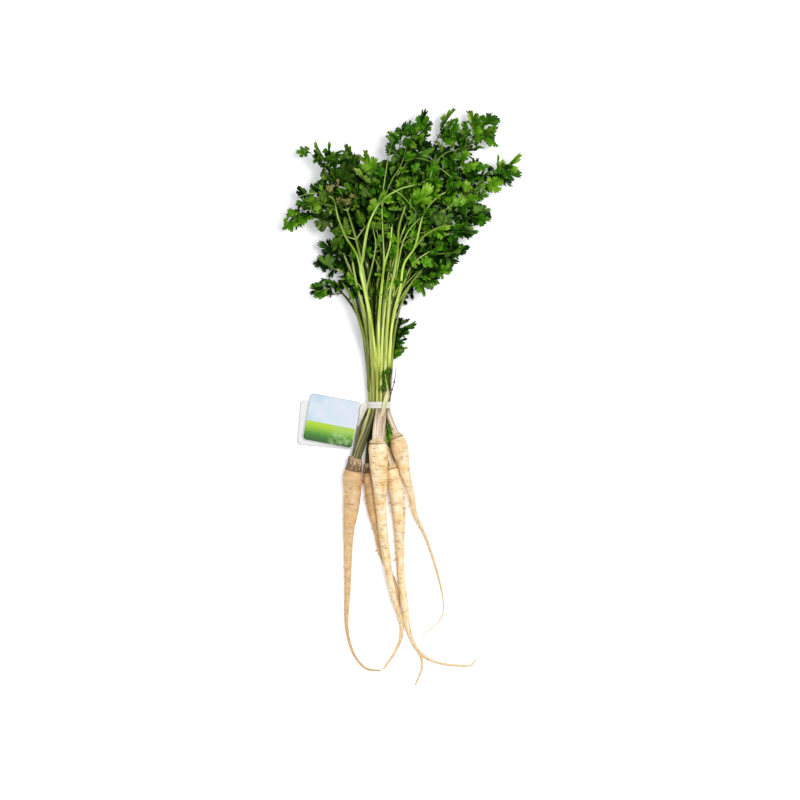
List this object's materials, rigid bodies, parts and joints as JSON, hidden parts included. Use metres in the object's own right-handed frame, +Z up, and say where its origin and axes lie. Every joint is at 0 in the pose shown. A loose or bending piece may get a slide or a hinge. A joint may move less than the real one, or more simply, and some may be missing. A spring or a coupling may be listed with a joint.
{
  "type": "parsley root bunch",
  "caption": "Bunch of long pale parsley roots with their green leaf tops, held round the leaf stalks by a white tie with a small card tag, lying flat for kitchen and market scenes.",
  "frame": {"origin": "on the table the bunch lies on, under the middle of the bunch's bounding box", "axes": "+Y along the bunch from the root tails to the leaf tips, +Z up from the table, +X to the right seen from above"},
  "size_m": [0.2344, 0.5738, 0.0579],
  "materials": {
    "root": "matte",
    "leaf": "satin",
    "tie": "satin",
    "tag": "satin"
  },
  "bodies": {
    "root": {"root_left": "root", "root_behind": "root", "root_front": "root", "root_forked": "root", "root_right": "root", "leaf_front_1": "leaf", "leaf_front_2": "leaf", "leaf_front_3": "leaf", "leaf_front_4": "leaf", "leaf_front_5": "leaf", "leaf_front_6": "leaf", "leaf_left_1": "leaf", "leaf_left_2": "leaf", "leaf_left_3": "leaf", "leaf_left_4": "leaf", "leaf_left_5": "leaf", "leaf_behind_1": "leaf", "leaf_behind_2": "leaf", "leaf_behind_3": "leaf", "leaf_behind_4": "leaf", "leaf_forked_1": "leaf", "leaf_forked_2": "leaf", "leaf_forked_3": "leaf", "leaf_forked_4": "leaf", "leaf_forked_5": "leaf", "leaf_right_1": "leaf", "leaf_right_2": "leaf", "leaf_right_3": "leaf", "leaf_right_4": "leaf", "small_leaf_right": "leaf", "small_leaf_top": "leaf", "tie_band": "tie", "tie_end": "tie", "tag_front": "tag", "tag_back": "tag"}
  },
  "joints": []
}
